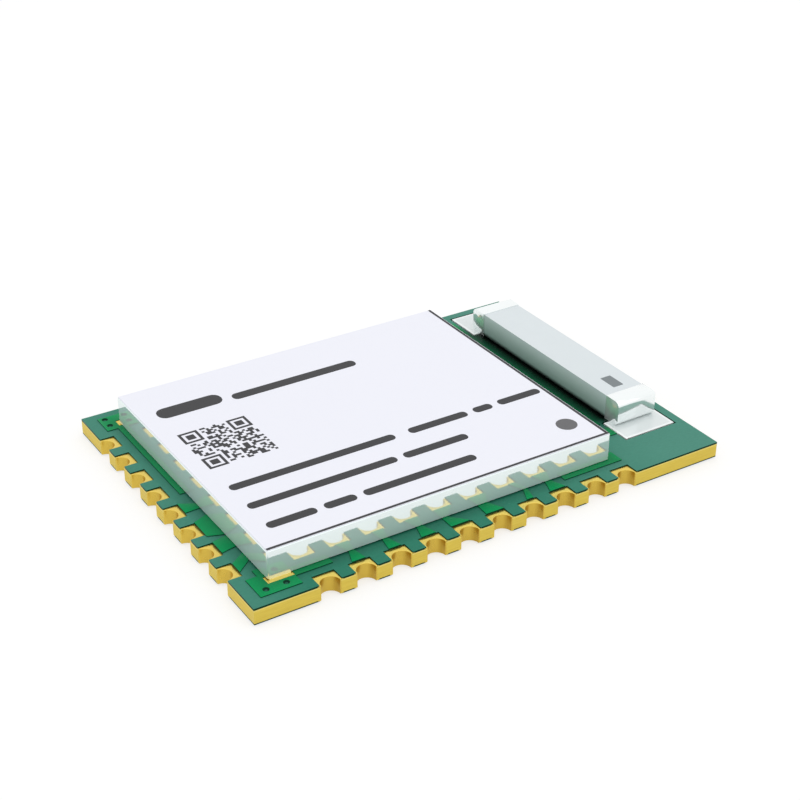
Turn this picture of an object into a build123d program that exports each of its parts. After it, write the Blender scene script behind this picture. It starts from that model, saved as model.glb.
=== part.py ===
"""Short-range radio module: a castellated board with a shield can and a ceramic chip antenna.

Millimetres. The origin is under the middle of the board, +X points to the antenna end and
+Z up. The lowest surface is the solder mask over the ground copper on the board's underside.
"""
import os

from build123d import *

# Layers of the board
core_thickness = 0.476
copper = 0.03
top_mask = 0.07
bottom_mask = 0.04
copper_gap = 0.12          # least gap between copper of different nets

# Plated half-holes along the two sides and the left end
pitch = 1.27
side_count = 10
end_count = 8
drill_radius = 0.36
plating = 0.03
land_ring = 0.09           # land beside the hole
land_inside = 0.20         # land behind the hole
bottom_land_inside = 0.54
mask_overlap = 0.06        # mask over the land's edge

# Board beyond the rows of half-holes, which set its length and width
left_end = 2.605           # from the left end to the first half-hole of a side
right_end = 3.965          # from the last half-hole of a side to the right end
end_row_corner = 2.055     # from the outer half-holes of the left end to the sides

# Inner row of square pads under the board
inner_pad = 0.70
inner_row_inset = 1.90
inner_side_count = 4

# Shield can, placed by what it leaves of the board on its four sides
can_left_margin = 1.02
can_right_margin = 3.95
can_front_margin = 1.03
can_rear_margin = 0.97
can_height = 0.98          # from the rim to the top of the metal
can_wall = 0.15
can_corner_radius = 0.06
can_top_radius = 0.03
rim_gap = 0.02             # rim to the mask over the copper strips
foot_length = 0.80
foot_setback = 0.04        # foot from the ends of its pad
foot_solder = 0.012

# Label on the can
label_thickness = 0.04
label_margin = 0.03

# Gold pads for the can's feet
shield_pad_length = 0.92
shield_pad_outside = 0.175
shield_pad_thickness = 0.055
right_foot_front = 3.27    # from the can's front face to the middle of the front foot
right_foot_rear = 1.33     # from the can's rear face to the middle of the rear foot

# Ground copper beside the can
patch_inset = (0.44, 0.37)    # corner patches from the board's end and side
patch_reach = (0.835, 0.34)   # how far the patches run in along the can's walls
strip_outside = 0.23
strip_under_can = 0.35
side_strip_length = 2.13
left_strip_outside = 0.19
left_strip_share = 0.483      # of the can's width, from its rear left corner
short_strip_length = 0.67
right_strip_length = 2.03
right_corner_reach = 0.38
antenna_ground_front = 2.02   # from the can's front face
antenna_ground_gap = 0.165    # to the antenna pads

# Vias with solder mask over them
via_radius = 0.11
via_plating = 0.02
dimple_radius = 0.11
dimple_depth = 0.045
front_vias = ((0.755, 0.642), (1.449, 0.642))   # from the board's front left corner
rear_vias = ((0.66, 0.53), (0.66, 0.995))       # from the board's rear left corner

# Tear-drop traces: start and end edges beside the pad's middle, at the pad and at the can
side_traces = {
    1: (-0.23, 0.25, -0.04, 0.16),
    2: (-0.18, 0.26, -0.09, 0.12),
    3: (-0.24, 0.29, -0.09, 0.15),
    4: (-0.39, 0.32, -0.39, -0.18),
    5: (-0.31, 0.38, -0.28, 0.10),
    6: (0.02, 0.28, 0.26, 0.43),
    7: (-0.30, 0.31, -0.12, 0.11),
}
end_traces = {
    4: (-0.38, 0.24, -0.09, 0.22),
    5: (-0.39, 0.51, -0.60, 0.71),
    6: (-0.37, 0.31, -0.49, 0.20),
    7: (-0.29, 0.22, -0.64, -0.20),
}
trace_tuck = 0.45          # length of a trace under the can

# Chip antenna, lying along Y near the right end
antenna_right_margin = 1.46   # from the board's right end to the antenna's middle
antenna_front_margin = 2.62   # from the board's front edge to the antenna's end
antenna_rear_margin = 1.48
antenna_width = 1.66
antenna_height = 0.93
antenna_wrap = 0.70
antenna_plating = 0.03
antenna_edge_radius = 0.20
antenna_pad_width = 2.15
antenna_pad_outer = (0.80, 1.11)   # pad beyond the antenna's front and rear end
antenna_pad_inner = (0.45, 0.44)   # pad under the antenna's front and rear end
antenna_mask_gap = 0.06
antenna_solder = 0.05
feed_width = 0.50
feed_offset = 0.12            # from the antenna's front end to the middle of the feed

# Seat of every part above the bare solder mask, and plating of the end caps
seat_gap = 0.02
cap_plating = 0.02

# The can's free space is shared out in squares, which carry the parts inside it
squares_count_x = 25
squares_count_y = 21

# Radio chip in a flat no-lead package: size in squares, height as a share of the free height
chip_squares = 12
chip_height_share = 0.87
chip_leads_per_side = 12
chip_place_squares = (-1.0, 0.5)
chip_lead_height = 0.20
pin_mark_depth = 0.03
thermal_via_rows = 3

# Two-terminal parts: length, width and end cap in squares, height as a share
capacitor_shares = (2.0, 1.0, 0.5, 0.58)
inductor_shares = (2.0, 1.0, 0.45, 0.55)
resistor_shares = (2.0, 1.0, 0.45, 0.40)
converter_coil_shares = (3.2, 1.6, 0.6, 0.87)
land_heel_squares = 0.12   # land under the part beyond its end cap
land_toe_squares = 0.40    # land outside the part's end
solder_climb_share = 0.55  # of the part's end, wetted by its solder

# Their places, in squares from the middle of the can
row_step_squares = 3.4
front_row_start_squares = (-10.3, -8.3)
front_row_count = 4
rear_row_start_squares = (-8.2, 8.8)
rear_row_count = 5
right_columns_squares = (7.0, 9.8)
column_capacitor_squares = 5.4
column_resistor_squares = -3.8
corner_resistor_squares = (9.2, 8.9)
left_column_squares = -9.9
converter_coil_squares = -1.4
slow_crystal_place_squares = 5.1
fast_crystal_place_squares = (8.4, 0.9)
match_count = 3
match_end_squares = 0.8    # last matching part from the can's inner wall

# Crystals: length and width in squares, base and lid as shares of the free height
fast_crystal_shares = (4.0, 3.2, 0.35, 0.20)
slow_crystal_shares = (4.0, 2.4, 0.37, 0.20)
crystal_land_squares = (1.2, 1.0)
crystal_lid_margin_squares = 0.24

# Pads at the board's edge
land_width = 2 * (drill_radius + land_ring)
land_depth = drill_radius + land_inside
bottom_land_depth = drill_radius + bottom_land_inside
opening_width = land_width - 2 * mask_overlap
opening_depth = land_depth - mask_overlap
finished_radius = drill_radius - plating

# Levels
pour_face = 0.0
bare_bottom = pour_face + copper
core_bottom = bare_bottom + bottom_mask
core_top = core_bottom + core_thickness
land_top = core_top + copper
bare_top = core_top + top_mask
raised_top = bare_top + copper
can_rim = raised_top + rim_gap
can_top = can_rim + can_height
seat = bare_top + seat_gap
antenna_seat = land_top + antenna_solder
free_height = can_top - can_wall - seat

# Board edges, can walls and the antenna's place
board_length = left_end + pitch * (side_count - 1) + right_end
board_width = pitch * (end_count - 1) + 2 * end_row_corner
board_left, board_right = -board_length / 2, board_length / 2
board_front, board_rear = -board_width / 2, board_width / 2
can_left = board_left + can_left_margin
can_right = board_right - can_right_margin
can_front = board_front + can_front_margin
can_rear = board_rear - can_rear_margin
can_length, can_width = can_right - can_left, can_rear - can_front
can_x, can_y = (can_left + can_right) / 2, (can_front + can_rear) / 2
shield_pad_inside = can_wall + foot_setback
antenna_x = board_right - antenna_right_margin
antenna_front = board_front + antenna_front_margin
antenna_rear = board_rear - antenna_rear_margin
antenna_length = antenna_rear - antenna_front
antenna_pad_left = antenna_x - antenna_pad_width / 2
feed_y = antenna_front - feed_offset

# Squares inside the can: steps between places, and the side that sizes count in
step_x = (can_length - 2 * can_wall) / squares_count_x
step_y = (can_width - 2 * can_wall) / squares_count_y
square = min(step_x, step_y)
land_heel, land_toe = land_heel_squares * square, land_toe_squares * square
chip_size = chip_squares * square
chip_lead_pitch = chip_size / (chip_leads_per_side + 3)
chip_lead_width = chip_lead_pitch / 2
chip_lead_length = chip_lead_pitch
chip_die_pad = chip_size - 4 * chip_lead_pitch
chip_land_toe = chip_lead_pitch / 2
chip_height = chip_height_share * free_height
pin_mark_radius = chip_lead_pitch / 2
thermal_via_pitch = chip_die_pad / (thermal_via_rows + 1)


def rectangle(x0, x1, y0, y1):
    """Flat rectangle between two corners."""
    return Pos((x0 + x1) / 2, (y0 + y1) / 2) * Rectangle(x1 - x0, y1 - y0)


def layer(outline, low, high):
    """Outline extruded between two levels."""
    return Pos(0, 0, low) * extrude(outline, high - low)


def join(shapes):
    """All shapes of a list fused into one."""
    shapes = list(shapes)
    return shapes[0].fuse(*shapes[1:]) if len(shapes) > 1 else shapes[0]


def group(shapes):
    """Separate solids kept apart in one piece."""
    return Compound(children=[s for shape in shapes for s in shape.solids()])


def side_pad_places():
    """Front half-holes, each with +Y pointing into the board."""
    return [Pos(board_left + left_end + pitch * i, board_front) for i in range(side_count)]


def end_pad_places():
    """Left half-holes from rear to front, each with its own +Y pointing into the board."""
    first = pitch * (end_count - 1) / 2
    return [Pos(board_left, first - pitch * i) * Rot(0, 0, -90) for i in range(end_count)]


def around_board(outline):
    """An outline beside the origin's edge repeated at every half-hole."""
    front = [place * outline for place in side_pad_places()]
    rear = [mirror(shape, about=Plane.XZ) for shape in front]
    return join(front + rear + [place * outline for place in end_pad_places()])


def board_outline():
    return Rectangle(board_length, board_width)


def pad_outline(width, depth):
    return rectangle(-width / 2, width / 2, 0, depth)


def trace_outline(edges, wall_distance):
    """Tear-drop trace from the mask opening to the can's wall, and on under the can."""
    base_low, base_high, top_low, top_high = edges
    end = wall_distance + trace_tuck
    return Polygon((base_low, opening_depth), (base_high, opening_depth), (top_high, wall_distance),
                   (top_high, end), (top_low, end), (top_low, wall_distance), align=None)


def trace_outlines():
    """Traces of the front row, their mirror images at the rear, and those of the left row."""
    sides, ends = side_pad_places(), end_pad_places()
    front = [sides[i] * trace_outline(edges, can_front_margin) for i, edges in side_traces.items()
             if i < len(sides)]
    rear = [mirror(shape, about=Plane.XZ) for shape in front]
    left = [ends[i] * trace_outline(edges, can_left_margin) for i, edges in end_traces.items()
            if i < len(ends)]
    return join(front + rear + left)


def corner_copper(side):
    """Ground patch at a left corner of the can, with its strips along the walls."""
    wall = can_front if side < 0 else can_rear
    edge = board_front if side < 0 else board_rear
    outer_y = edge - side * patch_inset[1]
    inner_y = wall - side * patch_reach[1]
    patch_right = can_left + patch_reach[0]
    patch = rectangle(board_left + patch_inset[0], patch_right, *sorted((outer_y, inner_y)))
    strip = rectangle(can_left, can_left + side_strip_length,
                      *sorted((wall + side * strip_outside, wall - side * strip_under_can)))
    length = short_strip_length if side < 0 else left_strip_share * can_width
    wall_strip = rectangle(can_left - left_strip_outside, can_left + strip_under_can,
                           *sorted((wall, wall - side * length)))
    return patch + strip + wall_strip


def right_copper(side):
    """Ground strip along a long wall to the can's right corner."""
    wall = can_front if side < 0 else can_rear
    return rectangle(can_right - right_strip_length, can_right + right_corner_reach,
                     *sorted((wall + side * strip_outside, wall - side * strip_under_can)))


def antenna_ground():
    """Ground copper between the can and the antenna."""
    return rectangle(can_right - strip_under_can, antenna_pad_left - antenna_ground_gap,
                     can_front + antenna_ground_front, can_rear + strip_outside)


def feed_outline():
    """Trace from the last matching part's land to the front antenna pad."""
    start = can_right - can_wall - match_end_squares * square + land_toe
    return rectangle(start, antenna_pad_left, feed_y - feed_width / 2, feed_y + feed_width / 2)


def ground_outline():
    """All ground copper on top, kept clear of the pads, traces and antenna feed."""
    copper_area = join([corner_copper(-1), corner_copper(1), right_copper(-1), right_copper(1),
                        antenna_ground()])
    clear = around_board(pad_outline(land_width + 2 * copper_gap, land_depth + copper_gap))
    spaced = offset(trace_outlines(), copper_gap, kind=Kind.INTERSECTION)
    feed = offset(feed_outline(), copper_gap, kind=Kind.INTERSECTION)
    return copper_area - clear - spaced - feed


def antenna_pad_outlines():
    """Front and rear antenna pads."""
    half = antenna_pad_width / 2
    front = rectangle(antenna_x - half, antenna_x + half,
                      antenna_front - antenna_pad_outer[0], antenna_front + antenna_pad_inner[0])
    rear = rectangle(antenna_x - half, antenna_x + half,
                     antenna_rear - antenna_pad_inner[1], antenna_rear + antenna_pad_outer[1])
    return [front, rear]


def right_foot_places():
    return [can_front + right_foot_front, can_rear - right_foot_rear]


def shield_pad_outlines():
    """Four exposed pads, two under the long walls at the left and two under the right wall."""
    length, out, into = shield_pad_length, shield_pad_outside, shield_pad_inside
    left = can_left - 2 * foot_setback
    pads = [rectangle(left, left + length, can_front - out, can_front + into),
            rectangle(left, left + length, can_rear - into, can_rear + out)]
    for y in right_foot_places():
        pads.append(rectangle(can_right - into, can_right + out, y - length / 2, y + length / 2))
    return pads


def foot_outlines():
    """The can's four feet, each a tongue of its wall."""
    start = can_left + can_corner_radius
    end = can_left - 2 * foot_setback + shield_pad_length - foot_setback
    feet = [rectangle(start, end, can_front, can_front + can_wall),
            rectangle(start, end, can_rear - can_wall, can_rear)]
    for y in right_foot_places():
        feet.append(rectangle(can_right - can_wall, can_right,
                              y - foot_length / 2, y + foot_length / 2))
    return feet


def via_places():
    """Corner vias, then the square of thermal vias under the radio chip."""
    corner = [(board_left + x, board_front + y) for x, y in front_vias]
    corner += [(board_left + x, board_rear - y) for x, y in rear_vias]
    middle = (thermal_via_rows - 1) / 2
    steps = [thermal_via_pitch * (i - middle) for i in range(thermal_via_rows)]
    x0, y0 = chip_place().position.X, chip_place().position.Y
    return corner, [(x0 + x, y0 + y) for x in steps for y in steps]


def circles(places, radius):
    return join([Pos(x, y) * Circle(radius) for x, y in places])


def in_can(squares_x, squares_y, turn=0):
    """Place of a part from its squares beside the middle of the can."""
    return Pos(can_x + squares_x * step_x, can_y + squares_y * step_y) * Rot(0, 0, turn)


def chip_place():
    return in_can(*chip_place_squares)


def row_places(start, count):
    """Places of a row of parts, a row step apart."""
    return [in_can(start[0] + row_step_squares * i, start[1]) for i in range(count)]


def column_places(y):
    """One place in each column at the right, turned across."""
    return [in_can(x, y, 90) for x in right_columns_squares]


def match_places():
    """Matching parts in line with the antenna feed, the last one beside the can's wall."""
    last = can_right - can_wall - (match_end_squares + inductor_shares[0] / 2) * square
    return [Pos(last - row_step_squares * step_x * i, feed_y) for i in range(match_count)]


def part_size(shares):
    """Length, width, height and end cap of a part from its shares."""
    length, width, cap, height = shares
    return length * square, width * square, height * free_height, cap * square


def two_terminal_parts():
    """Every two-terminal part's size and places, by kind."""
    capacitors = (row_places(front_row_start_squares, front_row_count)
                  + row_places(rear_row_start_squares, rear_row_count)
                  + column_places(column_capacitor_squares))
    resistors = column_places(column_resistor_squares) + [in_can(*corner_resistor_squares)]
    coil = [in_can(left_column_squares, converter_coil_squares, 90)]
    return {
        "capacitor": (part_size(capacitor_shares), capacitors),
        "matching_inductor": (part_size(inductor_shares), match_places()),
        "resistor": (part_size(resistor_shares), resistors),
        "converter_coil": (part_size(converter_coil_shares), coil),
    }


def crystals():
    """Size and place of the two crystals: length, width, base height and lid height."""
    places = {
        "fast_crystal": (fast_crystal_shares, in_can(*fast_crystal_place_squares)),
        "slow_crystal": (slow_crystal_shares,
                         in_can(left_column_squares, slow_crystal_place_squares, 90)),
    }
    sized = {}
    for name, ((length, width, base, lid), place) in places.items():
        sized[name] = ((length * square, width * square, base * free_height, lid * free_height), place)
    return sized


def end_land_outlines(size):
    """Two lands of a part that lies along X."""
    length, width, _, cap = size
    inner, outer = length / 2 - cap - land_heel, length / 2 + land_toe
    right = rectangle(inner, outer, -width / 2, width / 2)
    return [right, mirror(right, about=Plane.YZ)]


def crystal_land_outlines(size):
    """Four corner lands under a crystal."""
    land_x, land_y = (side * square for side in crystal_land_squares)
    x, y = (size[0] - land_x) / 2, (size[1] - land_y) / 2
    return [Pos(sx * x, sy * y) * Rectangle(land_x, land_y) for sx in (-1, 1) for sy in (-1, 1)]


def chip_lead_outlines(toe):
    """The chip's leads on all four sides, each with its toe beyond the body."""
    inner = chip_size / 2 - chip_lead_length
    first = -chip_lead_pitch * (chip_leads_per_side - 1) / 2
    row = [rectangle(inner, chip_size / 2 + toe, y - chip_lead_width / 2, y + chip_lead_width / 2)
           for y in (first + chip_lead_pitch * i for i in range(chip_leads_per_side))]
    return [Rot(0, 0, 90 * side) * lead for side in range(4) for lead in row]


def chip_outlines(toe):
    """The chip's leads and its die pad."""
    return chip_lead_outlines(toe) + [Rectangle(chip_die_pad, chip_die_pad)]


def flat_land_outlines():
    """Lands of the crystals and of the radio chip, where they stand."""
    lands = [place * land for size, place in crystals().values()
             for land in crystal_land_outlines(size)]
    return lands + [chip_place() * outline for outline in chip_outlines(chip_land_toe)]


def component_land_outlines():
    """Every land inside the can, where its part stands."""
    ends = [place * land for size, places in two_terminal_parts().values()
            for place in places for land in end_land_outlines(size)]
    return ends + flat_land_outlines()


def inner_pad_outlines():
    """Inner row of pads under the board, half a pitch off the half-holes."""
    first_y = pitch * (end_count - 2) / 2
    places = [(board_left + inner_row_inset, first_y - pitch * i) for i in range(end_count - 1)]
    side_y = board_front + inner_row_inset
    side_x = board_left + left_end + pitch / 2
    for i in range(1, inner_side_count + 1):
        places += [(side_x + pitch * i, side_y), (side_x + pitch * i, -side_y)]
    return [Pos(x, y) * Rectangle(inner_pad, inner_pad) for x, y in places]


def pour_outline():
    """Ground copper under the board, clear of the pads and of the antenna end."""
    x0 = board_left + bottom_land_depth + 2 * copper_gap
    y0 = board_front + bottom_land_depth + 2 * copper_gap
    pour = rectangle(x0, can_right + right_corner_reach, y0, -y0)
    clear = [offset(pad, copper_gap, kind=Kind.INTERSECTION) for pad in inner_pad_outlines()]
    return pour - join(clear)


def edge_pad():
    """Half a plated hole with its lands on both faces, cut off at the board's edge."""
    barrel = layer(Circle(drill_radius), core_bottom, core_top)
    upper = layer(pad_outline(land_width, land_depth), core_top, land_top)
    lower = layer(pad_outline(land_width, bottom_land_depth), core_bottom - copper, core_bottom)
    hole = layer(Circle(finished_radius), core_bottom - copper, land_top)
    inside = layer(pad_outline(land_width, bottom_land_depth), core_bottom - copper, land_top)
    return (barrel + upper + lower - hole) & inside


def edge_pads():
    """The three rows of plated half-holes."""
    pad = edge_pad()
    front = [place * pad for place in side_pad_places()]
    return {
        "front_edge_pads": group(front),
        "rear_edge_pads": group([mirror(shape, about=Plane.XZ) for shape in front]),
        "left_edge_pads": group([place * pad for place in end_pad_places()]),
    }


def board_core():
    """Laminate with the drilled half-holes and the via holes."""
    corner, thermal = via_places()
    holes = around_board(Circle(drill_radius)) + circles(corner + thermal, via_radius)
    return layer(board_outline() - holes, core_bottom, core_top)


def vias():
    """Plated tubes through the board, from copper to copper."""
    corner, thermal = via_places()
    tube = Circle(via_radius) - Circle(via_radius - via_plating)
    tubes = [Pos(x, y) * tube for x, y in corner + thermal]
    return group(layer(shape, core_bottom - copper, land_top) for shape in tubes)


def top_ground():
    """Ground copper on top, with the corner vias through it."""
    corner, _ = via_places()
    return layer(ground_outline() - circles(corner, via_radius), core_top, land_top)


def top_traces():
    """Signal traces, each ending at its pad's land."""
    lands = around_board(pad_outline(land_width, land_depth))
    return layer(trace_outlines() - lands, core_top, land_top)


def component_lands():
    """Lands inside the can, with the thermal vias through the die pad's land."""
    _, thermal = via_places()
    outline = join(component_land_outlines())
    return layer(outline - circles(thermal, via_radius), core_top, land_top)


def bottom_ground():
    """Ground copper on the underside, with its vias."""
    _, thermal = via_places()
    return layer(pour_outline() - circles(thermal, via_radius), core_bottom - copper, core_bottom)


def corner_via_caps():
    """Small round lands under the board for the corner vias."""
    corner, _ = via_places()
    ring = Circle(via_radius + copper_gap / 2) - Circle(via_radius)
    return [layer(Pos(x, y) * ring, core_bottom - copper, core_bottom) for x, y in corner]


def top_solder_mask():
    """Green film that steps up over copper and is open at every pad."""
    openings = join([around_board(pad_outline(opening_width, opening_depth)),
                     join(component_land_outlines()), join(shield_pad_outlines()),
                     offset(join(antenna_pad_outlines()), antenna_mask_gap, kind=Kind.INTERSECTION)])
    lands = around_board(pad_outline(land_width, land_depth))
    copper_area = join([ground_outline(), trace_outlines(), feed_outline()])
    low = layer(board_outline() - openings - lands - copper_area, core_top, land_top)
    high = layer(board_outline() - openings, land_top, bare_top)
    raised = layer(copper_area - openings, bare_top, raised_top)
    corner, _ = via_places()
    dimples = [Pos(x, y, raised_top - dimple_depth) * Cone(dimple_radius / 2, dimple_radius,
               dimple_depth, align=(Align.CENTER, Align.CENTER, Align.MIN)) for x, y in corner]
    return low.fuse(high, raised).cut(*dimples)


def bottom_solder_mask():
    """Green film under the board, lower over copper and open at every pad."""
    corner, _ = via_places()
    pads = around_board(pad_outline(opening_width, bottom_land_depth - (land_depth - opening_depth)))
    lands = around_board(pad_outline(land_width, bottom_land_depth))
    inner = join(inner_pad_outlines())
    caps = circles(corner, via_radius + copper_gap / 2)
    high = layer(board_outline() - lands - inner - pour_outline() - caps,
                 core_bottom - copper, core_bottom)
    low = layer(board_outline() - pads - inner, bare_bottom, core_bottom - copper)
    pour = layer(pour_outline(), pour_face, bare_bottom)
    return high.fuse(low, pour)


def shield_can():
    """Drawn sheet-metal box, open below, standing on four feet."""
    outer = layer(Pos(can_x, can_y) * RectangleRounded(can_length, can_width, can_corner_radius),
                  can_rim, can_top)
    outer = fillet(outer.faces().sort_by(Axis.Z)[-1].edges(), can_top_radius)
    inner = layer(rectangle(can_left + can_wall, can_right - can_wall,
                            can_front + can_wall, can_rear - can_wall),
                  can_rim, can_top - can_wall)
    sole = land_top + shield_pad_thickness + foot_solder
    feet = [layer(foot, sole, can_rim) for foot in foot_outlines()]
    return (outer - inner).fuse(*feet)


def foot_solders():
    """Thin solder joint under each foot."""
    low = land_top + shield_pad_thickness
    return group(layer(foot, low, low + foot_solder) for foot in foot_outlines())


def shield_pads():
    """Gold pads that fill the mask openings at the feet, on the ground copper."""
    top = land_top + shield_pad_thickness
    return group(layer(pad, land_top, top) for pad in shield_pad_outlines())


def label():
    outline = rectangle(can_left + label_margin, can_right - label_margin,
                        can_front + label_margin, can_rear - label_margin)
    return layer(outline, can_top, can_top + label_thickness)


def antenna_block(shrink):
    """Antenna's outer form, rounded over its ends, made smaller by shrink on every side."""
    block = Pos(antenna_x, (antenna_front + antenna_rear) / 2, antenna_seat + shrink) * Box(
        antenna_width - 2 * shrink, antenna_length - 2 * shrink, antenna_height - 2 * shrink,
        align=(Align.CENTER, Align.CENTER, Align.MIN))
    ends = block.edges().filter_by(Axis.X)
    return fillet(ends, antenna_edge_radius - shrink)


def antenna_body():
    return antenna_block(antenna_plating)


def antenna_terminals():
    """Metal caps wrapped over the antenna's two ends."""
    shell = antenna_block(0) - antenna_body()
    reach = Pos(antenna_x, 0, antenna_seat)
    span = Box(antenna_width, antenna_wrap, antenna_height,
               align=(Align.CENTER, Align.MIN, Align.MIN))
    front = shell & (reach * Pos(0, antenna_front) * span)
    rear = shell & (reach * Pos(0, antenna_rear - antenna_wrap) * span)
    return front, rear


def end_cap_block(size, shrink):
    length, width, height, _ = size
    return Pos(0, 0, seat + shrink) * Box(length - 2 * shrink, width - 2 * shrink,
                                          height - 2 * shrink,
                                          align=(Align.CENTER, Align.CENTER, Align.MIN))


def part_body(size):
    """Ceramic body that fills the end caps."""
    return end_cap_block(size, cap_plating)


def part_caps(size):
    """Two metal end caps wrapped round the body."""
    length, width, height, cap = size
    shell = end_cap_block(size, 0) - part_body(size)
    end = Pos(length / 2 - cap, 0, seat) * Box(cap, width, height,
                                               align=(Align.MIN, Align.CENTER, Align.MIN))
    right = shell & end
    return [right, mirror(right, about=Plane.YZ)]


def part_solder(size):
    """Solder under an end cap, climbing its end face in a fillet."""
    length, width, height, cap = size
    inner, end, toe = length / 2 - cap - land_heel, length / 2, length / 2 + land_toe
    profile = Polygon((inner, land_top), (toe, land_top), (end, seat + height * solder_climb_share),
                      (end, seat), (inner, seat), align=None)
    right = extrude(Plane.XZ * profile, width / 2, both=True)
    return [right, mirror(right, about=Plane.YZ)]


def two_terminal_nodes():
    """Bodies and end caps of the small parts, one node for each kind."""
    nodes = {}
    for kind, (size, places) in two_terminal_parts().items():
        nodes[kind + "_bodies"] = group(place * part_body(size) for place in places)
        nodes[kind + "_end_caps"] = group(place * cap for place in places for cap in part_caps(size))
    return nodes


def crystal_nodes():
    """Ceramic base and welded metal lid of each crystal."""
    nodes = {}
    for name, ((length, width, base, height), place) in crystals().items():
        margin = crystal_lid_margin_squares * square
        low = seat + base
        block = layer(RectangleRounded(length, width, margin), seat, low)
        lid = layer(RectangleRounded(length - 2 * margin, width - 2 * margin, margin), low, low + height)
        lid = fillet(lid.faces().sort_by(Axis.Z)[-1].edges(), height / 3)
        nodes[name + "_base"] = place * block
        nodes[name + "_lid"] = place * lid
    return nodes


def chip_leads():
    """Leads and die pad, flush with the underside of the chip."""
    return group(chip_place() * layer(outline, seat, seat + chip_lead_height)
                 for outline in chip_outlines(0))


def chip_body():
    """Moulded body with pockets for the leads and a round pin mark."""
    top = seat + chip_height
    body = layer(Rectangle(chip_size, chip_size), seat, top)
    pockets = layer(join(chip_outlines(0)), seat, seat + chip_lead_height)
    corner = -chip_size / 2 + 3 * pin_mark_radius
    mark = layer(Pos(corner, corner) * Circle(pin_mark_radius), top - pin_mark_depth, top)
    return chip_place() * (body - pockets - mark)


def component_solder():
    """Solder between every land in the can and its part."""
    joints = [place * joint for size, places in two_terminal_parts().values()
              for place in places for joint in part_solder(size)]
    return group(joints + [layer(land, land_top, seat) for land in flat_land_outlines()])


def all_nodes():
    """Every piece of the module by its name."""
    front_terminal, rear_terminal = antenna_terminals()
    pads = antenna_pad_outlines()
    nodes = {
        "board_core": board_core(),
        "top_solder_mask": top_solder_mask(),
        "bottom_solder_mask": bottom_solder_mask(),
        "top_ground_copper": top_ground(),
        "signal_traces": top_traces(),
        "antenna_feed_trace": layer(feed_outline(), core_top, land_top),
        "component_lands": component_lands(),
        "bottom_ground_copper": group([bottom_ground()] + corner_via_caps()),
        "bottom_inner_pads": group(layer(pad, core_bottom - copper, core_bottom)
                                   for pad in inner_pad_outlines()),
        "plated_vias": vias(),
        "shield_pads": shield_pads(),
        "shield_foot_solder": foot_solders(),
        "shield_can": shield_can(),
        "label": label(),
        "antenna_pads": group(layer(pad, core_top, land_top) for pad in pads),
        "antenna_solder": group(layer(pad, land_top, antenna_seat) for pad in pads),
        "antenna_body": antenna_body(),
        "antenna_front_terminal": front_terminal,
        "antenna_rear_terminal": rear_terminal,
        "radio_chip_body": chip_body(),
        "radio_chip_leads": chip_leads(),
        "component_solder": component_solder(),
    }
    nodes.update(edge_pads())
    nodes.update(two_terminal_nodes())
    nodes.update(crystal_nodes())
    return nodes


os.makedirs("parts", exist_ok=True)
for name, shape in all_nodes().items():
    export_step(shape, "parts/" + name + ".step")
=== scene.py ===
"""Looks of the short-range radio module: finishes, rounded edges, label print, studio and camera.

Metres, as in the loaded frame. Small sizes and places are written in millimetres and turned by MM.
"""
import math
import random
from collections import namedtuple

import bmesh
import bpy
from bpy.props import FloatProperty, FloatVectorProperty, IntProperty, PointerProperty
from mathutils import Matrix, Vector


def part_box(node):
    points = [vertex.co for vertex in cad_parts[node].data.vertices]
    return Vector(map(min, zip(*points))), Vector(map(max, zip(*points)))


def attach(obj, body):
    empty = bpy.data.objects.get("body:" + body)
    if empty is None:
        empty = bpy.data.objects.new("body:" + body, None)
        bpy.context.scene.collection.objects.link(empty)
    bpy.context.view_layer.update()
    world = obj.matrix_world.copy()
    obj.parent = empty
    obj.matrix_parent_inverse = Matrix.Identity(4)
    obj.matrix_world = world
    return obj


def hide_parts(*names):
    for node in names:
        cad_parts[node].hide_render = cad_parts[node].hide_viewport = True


bl_info = {
    "name": "Radio module looks",
    "version": (1, 0, 0),
    "blender": (4, 5, 0),
    "location": "View3D > Sidebar > Radio module",
    "description": "Finishes, label print and studio of a castellated radio module",
    "category": "Object",
}

MM = 0.001
X, Y, Z = 0, 1, 2
WHITE = (1.0, 1.0, 1.0)
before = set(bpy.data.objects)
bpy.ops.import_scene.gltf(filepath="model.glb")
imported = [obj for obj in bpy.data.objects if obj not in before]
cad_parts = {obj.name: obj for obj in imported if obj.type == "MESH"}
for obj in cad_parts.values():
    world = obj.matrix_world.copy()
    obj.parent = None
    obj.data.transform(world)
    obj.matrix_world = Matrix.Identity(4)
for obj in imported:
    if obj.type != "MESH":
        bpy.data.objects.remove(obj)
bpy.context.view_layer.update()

Row = namedtuple("Row", "left middle bars")
Lamp = namedtuple("Lamp", "name place side power")

# Print, in millimetres from the board's middle. A bar of no length makes a wide space.

PRINT_LEFT = -7.35
BAR_SPACE = 0.28
NO_BAR = 0.0
TITLE = Row(PRINT_LEFT, 3.58, (2.42,))
SUBTITLE = Row(-4.60, 3.36, (4.95,))
TEXT = (Row(PRINT_LEFT, -1.82, (6.15, NO_BAR, 2.35, 0.75, 1.75)),
        Row(PRINT_LEFT, -3.06, (5.45, 2.50)),
        Row(PRINT_LEFT, -4.30, (1.75, 1.15, 4.25)))
SUBTITLE_SCALE = 1.2
BAR_ROUNDING = 0.45
DOT_PLACE = (4.15, -4.22)
DOT_SEGMENTS = 64
BORDER_INSET = 0.2
MARK_LEFT, MARK_RIGHT = 7.33, 7.77
MARK_FRONT, MARK_BACK = -2.83, -2.06
MARK_ROUNDING = 0.03

# Printed pattern. Its framed corners are made of bars: left, right, front and back, in cells.

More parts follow.
